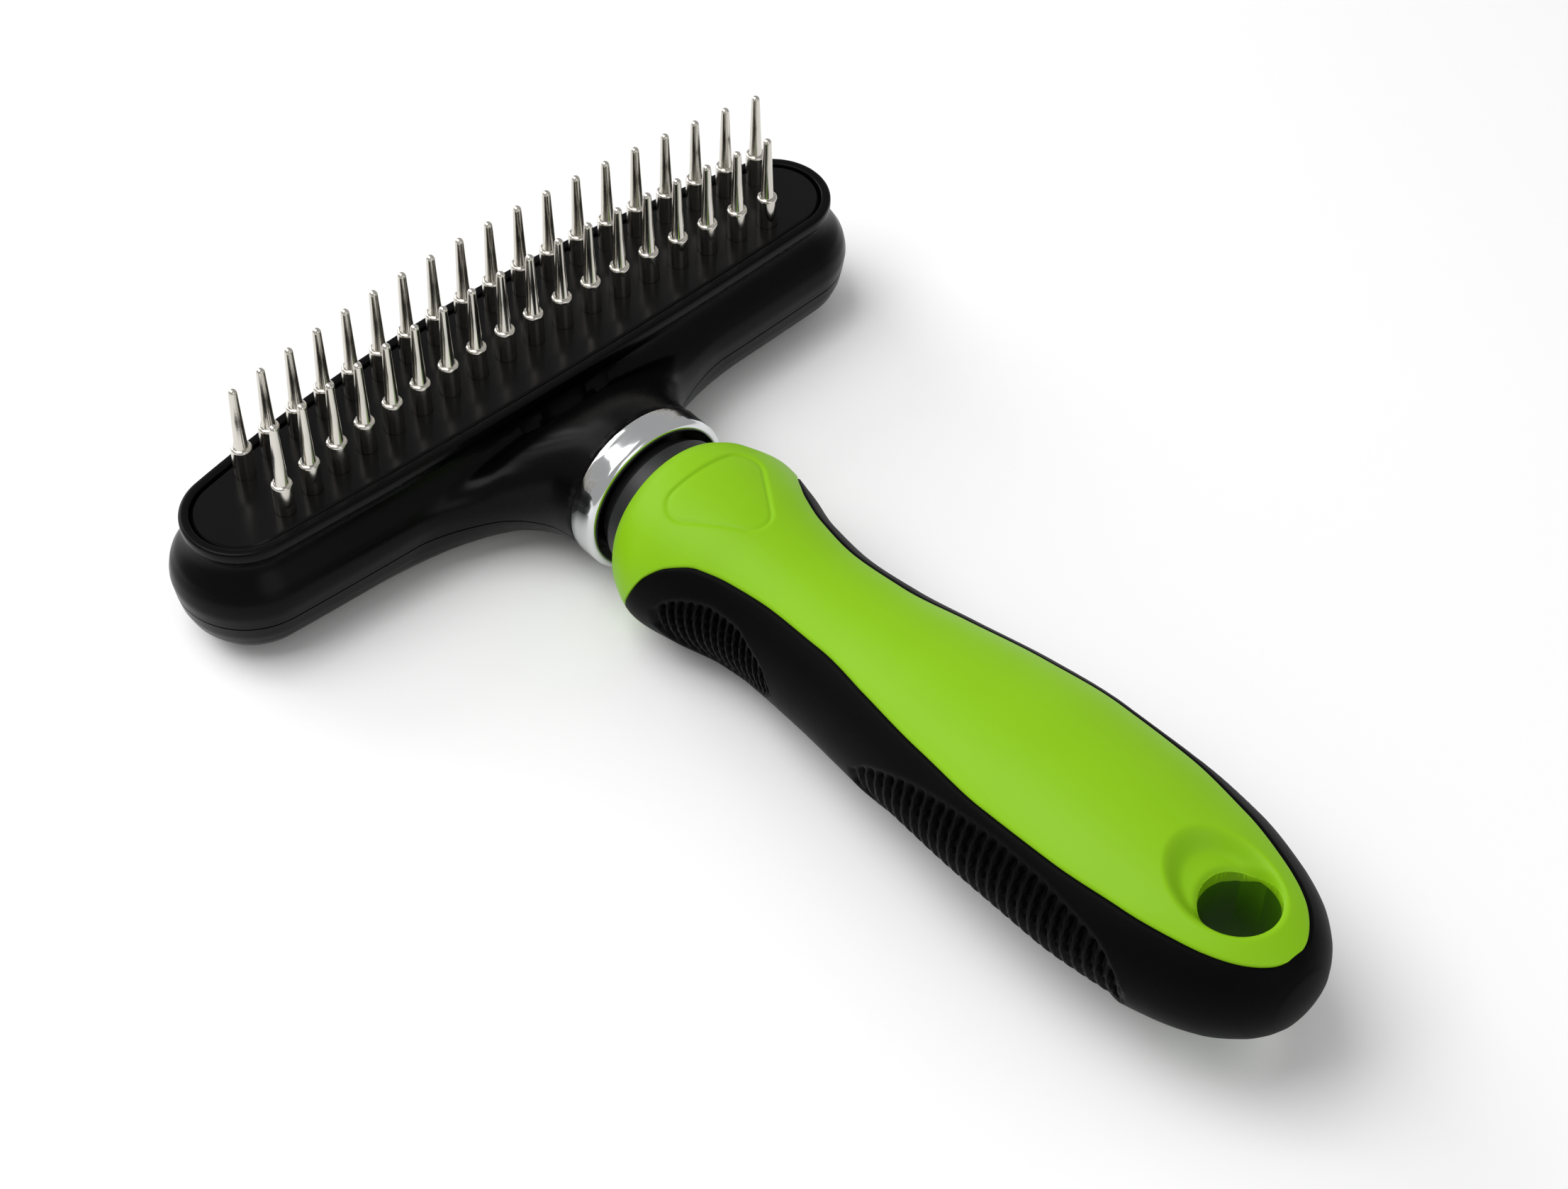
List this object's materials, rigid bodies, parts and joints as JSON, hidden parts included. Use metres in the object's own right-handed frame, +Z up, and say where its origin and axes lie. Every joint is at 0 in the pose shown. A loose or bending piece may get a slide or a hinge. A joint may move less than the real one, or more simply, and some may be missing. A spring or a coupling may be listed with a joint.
{
  "type": "double-row undercoat rake",
  "caption": "T-shaped grooming rake: two bowed rows of turning steel pins in a plastic head, a metal ferrule, and a soft two-colour grip with a hang hole.",
  "frame": {"origin": "centre of the bounding box, on the plane the tool lies on with its pins up", "axes": "+X along the head, +Y from the handle towards the head, +Z up the pins"},
  "size_m": [0.1152, 0.1607, 0.0355],
  "materials": {
    "black_abs": "satin moulded black ABS",
    "inner_plastic": "plain moulded black polypropylene",
    "black_rubber": "matte black thermoplastic rubber",
    "green_rubber": "satin lime green thermoplastic rubber",
    "pin_nickel": "bright nickel-plated steel, barrel polished",
    "ferrule_chrome": "bright chrome plating",
    "screw_steel": "zinc-plated steel"
  },
  "bodies": {
    "rake": {"upper_shell": "black_abs", "lower_shell": "black_abs", "pin_plate": "black_abs", "pin_retainer": "inner_plastic", "ferrule": "ferrule_chrome", "handle_core": "inner_plastic", "side_grip": "black_rubber", "inlay_grip": "green_rubber", "head_screws": "screw_steel", "neck_screw": "screw_steel"},
    "pin_back_01_body": {"pin_back_01": "pin_nickel"},
    "pin_back_02_body": {"pin_back_02": "pin_nickel"},
    "pin_back_03_body": {"pin_back_03": "pin_nickel"},
    "pin_back_04_body": {"pin_back_04": "pin_nickel"},
    "pin_back_05_body": {"pin_back_05": "pin_nickel"},
    "pin_back_06_body": {"pin_back_06": "pin_nickel"},
    "pin_back_07_body": {"pin_back_07": "pin_nickel"},
    "pin_back_08_body": {"pin_back_08": "pin_nickel"},
    "pin_back_09_body": {"pin_back_09": "pin_nickel"},
    "pin_back_10_body": {"pin_back_10": "pin_nickel"},
    "pin_back_11_body": {"pin_back_11": "pin_nickel"},
    "pin_back_12_body": {"pin_back_12": "pin_nickel"},
    "pin_back_13_body": {"pin_back_13": "pin_nickel"},
    "pin_back_14_body": {"pin_back_14": "pin_nickel"},
    "pin_back_15_body": {"pin_back_15": "pin_nickel"},
    "pin_back_16_body": {"pin_back_16": "pin_nickel"},
    "pin_back_17_body": {"pin_back_17": "pin_nickel"},
    "pin_back_18_body": {"pin_back_18": "pin_nickel"},
    "pin_back_19_body": {"pin_back_19": "pin_nickel"},
    "pin_front_01_body": {"pin_front_01": "pin_nickel"},
    "pin_front_02_body": {"pin_front_02": "pin_nickel"},
    "pin_front_03_body": {"pin_front_03": "pin_nickel"},
    "pin_front_04_body": {"pin_front_04": "pin_nickel"},
    "pin_front_05_body": {"pin_front_05": "pin_nickel"},
    "pin_front_06_body": {"pin_front_06": "pin_nickel"},
    "pin_front_07_body": {"pin_front_07": "pin_nickel"},
    "pin_front_08_body": {"pin_front_08": "pin_nickel"},
    "pin_front_09_body": {"pin_front_09": "pin_nickel"},
    "pin_front_10_body": {"pin_front_10": "pin_nickel"},
    "pin_front_11_body": {"pin_front_11": "pin_nickel"},
    "pin_front_12_body": {"pin_front_12": "pin_nickel"},
    "pin_front_13_body": {"pin_front_13": "pin_nickel"},
    "pin_front_14_body": {"pin_front_14": "pin_nickel"},
    "pin_front_15_body": {"pin_front_15": "pin_nickel"},
    "pin_front_16_body": {"pin_front_16": "pin_nickel"},
    "pin_front_17_body": {"pin_front_17": "pin_nickel"},
    "pin_front_18_body": {"pin_front_18": "pin_nickel"}
  },
  "joints": [
    {"name": "pin_back_01_spin", "type": "hinge", "parent": "rake", "child": "pin_back_01_body", "pos_m": [-0.0425, 0.06992, 0.0202], "axis": [0, 0, 1], "continuous": true},
    {"name": "pin_back_02_spin", "type": "hinge", "parent": "rake", "child": "pin_back_02_body", "pos_m": [-0.0375, 0.07068, 0.0202], "axis": [0, 0, 1], "continuous": true},
    {"name": "pin_back_03_spin", "type": "hinge", "parent": "rake", "child": "pin_back_03_body", "pos_m": [-0.0325, 0.07135, 0.0202], "axis": [0, 0, 1], "continuous": true},
    {"name": "pin_back_04_spin", "type": "hinge", "parent": "rake", "child": "pin_back_04_body", "pos_m": [-0.0275, 0.07192, 0.0202], "axis": [0, 0, 1], "continuous": true},
    {"name": "pin_back_05_spin", "type": "hinge", "parent": "rake", "child": "pin_back_05_body", "pos_m": [-0.0225, 0.07239, 0.0202], "axis": [0, 0, 1], "continuous": true},
    {"name": "pin_back_06_spin", "type": "hinge", "parent": "rake", "child": "pin_back_06_body", "pos_m": [-0.0175, 0.07277, 0.0202], "axis": [0, 0, 1], "continuous": true},
    {"name": "pin_back_07_spin", "type": "hinge", "parent": "rake", "child": "pin_back_07_body", "pos_m": [-0.0125, 0.07305, 0.0202], "axis": [0, 0, 1], "continuous": true},
    {"name": "pin_back_08_spin", "type": "hinge", "parent": "rake", "child": "pin_back_08_body", "pos_m": [-0.0075, 0.07324, 0.0202], "axis": [0, 0, 1], "continuous": true},
    {"name": "pin_back_09_spin", "type": "hinge", "parent": "rake", "child": "pin_back_09_body", "pos_m": [-0.0025, 0.07334, 0.0202], "axis": [0, 0, 1], "continuous": true},
    {"name": "pin_back_10_spin", "type": "hinge", "parent": "rake", "child": "pin_back_10_body", "pos_m": [0.0025, 0.07334, 0.0202], "axis": [0, 0, 1], "continuous": true},
    {"name": "pin_back_11_spin", "type": "hinge", "parent": "rake", "child": "pin_back_11_body", "pos_m": [0.0075, 0.07324, 0.0202], "axis": [0, 0, 1], "continuous": true},
    {"name": "pin_back_12_spin", "type": "hinge", "parent": "rake", "child": "pin_back_12_body", "pos_m": [0.0125, 0.07305, 0.0202], "axis": [0, 0, 1], "continuous": true},
    {"name": "pin_back_13_spin", "type": "hinge", "parent": "rake", "child": "pin_back_13_body", "pos_m": [0.0175, 0.07277, 0.0202], "axis": [0, 0, 1], "continuous": true},
    {"name": "pin_back_14_spin", "type": "hinge", "parent": "rake", "child": "pin_back_14_body", "pos_m": [0.0225, 0.07239, 0.0202], "axis": [0, 0, 1], "continuous": true},
    {"name": "pin_back_15_spin", "type": "hinge", "parent": "rake", "child": "pin_back_15_body", "pos_m": [0.0275, 0.07192, 0.0202], "axis": [0, 0, 1], "continuous": true},
    {"name": "pin_back_16_spin", "type": "hinge", "parent": "rake", "child": "pin_back_16_body", "pos_m": [0.0325, 0.07135, 0.0202], "axis": [0, 0, 1], "continuous": true},
    {"name": "pin_back_17_spin", "type": "hinge", "parent": "rake", "child": "pin_back_17_body", "pos_m": [0.0375, 0.07068, 0.0202], "axis": [0, 0, 1], "continuous": true},
    {"name": "pin_back_18_spin", "type": "hinge", "parent": "rake", "child": "pin_back_18_body", "pos_m": [0.0425, 0.06992, 0.0202], "axis": [0, 0, 1], "continuous": true},
    {"name": "pin_back_19_spin", "type": "hinge", "parent": "rake", "child": "pin_back_19_body", "pos_m": [0.0475, 0.06906, 0.0202], "axis": [0, 0, 1], "continuous": true},
    {"name": "pin_front_01_spin", "type": "hinge", "parent": "rake", "child": "pin_front_01_body", "pos_m": [-0.0425, 0.06102, 0.0202], "axis": [0, 0, 1], "continuous": true},
    {"name": "pin_front_02_spin", "type": "hinge", "parent": "rake", "child": "pin_front_02_body", "pos_m": [-0.0375, 0.06178, 0.0202], "axis": [0, 0, 1], "continuous": true},
    {"name": "pin_front_03_spin", "type": "hinge", "parent": "rake", "child": "pin_front_03_body", "pos_m": [-0.0325, 0.06245, 0.0202], "axis": [0, 0, 1], "continuous": true},
    {"name": "pin_front_04_spin", "type": "hinge", "parent": "rake", "child": "pin_front_04_body", "pos_m": [-0.0275, 0.06302, 0.0202], "axis": [0, 0, 1], "continuous": true},
    {"name": "pin_front_05_spin", "type": "hinge", "parent": "rake", "child": "pin_front_05_body", "pos_m": [-0.0225, 0.06349, 0.0202], "axis": [0, 0, 1], "continuous": true},
    {"name": "pin_front_06_spin", "type": "hinge", "parent": "rake", "child": "pin_front_06_body", "pos_m": [-0.0175, 0.06387, 0.0202], "axis": [0, 0, 1], "continuous": true},
    {"name": "pin_front_07_spin", "type": "hinge", "parent": "rake", "child": "pin_front_07_body", "pos_m": [-0.0125, 0.06416, 0.0202], "axis": [0, 0, 1], "continuous": true},
    {"name": "pin_front_08_spin", "type": "hinge", "parent": "rake", "child": "pin_front_08_body", "pos_m": [-0.0075, 0.06434, 0.0202], "axis": [0, 0, 1], "continuous": true},
    {"name": "pin_front_09_spin", "type": "hinge", "parent": "rake", "child": "pin_front_09_body", "pos_m": [-0.0025, 0.06444, 0.0202], "axis": [0, 0, 1], "continuous": true},
    {"name": "pin_front_10_spin", "type": "hinge", "parent": "rake", "child": "pin_front_10_body", "pos_m": [0.0025, 0.06444, 0.0202], "axis": [0, 0, 1], "continuous": true},
    {"name": "pin_front_11_spin", "type": "hinge", "parent": "rake", "child": "pin_front_11_body", "pos_m": [0.0075, 0.06434, 0.0202], "axis": [0, 0, 1], "continuous": true},
    {"name": "pin_front_12_spin", "type": "hinge", "parent": "rake", "child": "pin_front_12_body", "pos_m": [0.0125, 0.06416, 0.0202], "axis": [0, 0, 1], "continuous": true},
    {"name": "pin_front_13_spin", "type": "hinge", "parent": "rake", "child": "pin_front_13_body", "pos_m": [0.0175, 0.06387, 0.0202], "axis": [0, 0, 1], "continuous": true},
    {"name": "pin_front_14_spin", "type": "hinge", "parent": "rake", "child": "pin_front_14_body", "pos_m": [0.0225, 0.06349, 0.0202], "axis": [0, 0, 1], "continuous": true},
    {"name": "pin_front_15_spin", "type": "hinge", "parent": "rake", "child": "pin_front_15_body", "pos_m": [0.0275, 0.06302, 0.0202], "axis": [0, 0, 1], "continuous": true},
    {"name": "pin_front_16_spin", "type": "hinge", "parent": "rake", "child": "pin_front_16_body", "pos_m": [0.0325, 0.06245, 0.0202], "axis": [0, 0, 1], "continuous": true},
    {"name": "pin_front_17_spin", "type": "hinge", "parent": "rake", "child": "pin_front_17_body", "pos_m": [0.0375, 0.06178, 0.0202], "axis": [0, 0, 1], "continuous": true},
    {"name": "pin_front_18_spin", "type": "hinge", "parent": "rake", "child": "pin_front_18_body", "pos_m": [0.0425, 0.06102, 0.0202], "axis": [0, 0, 1], "continuous": true}
  ]
}
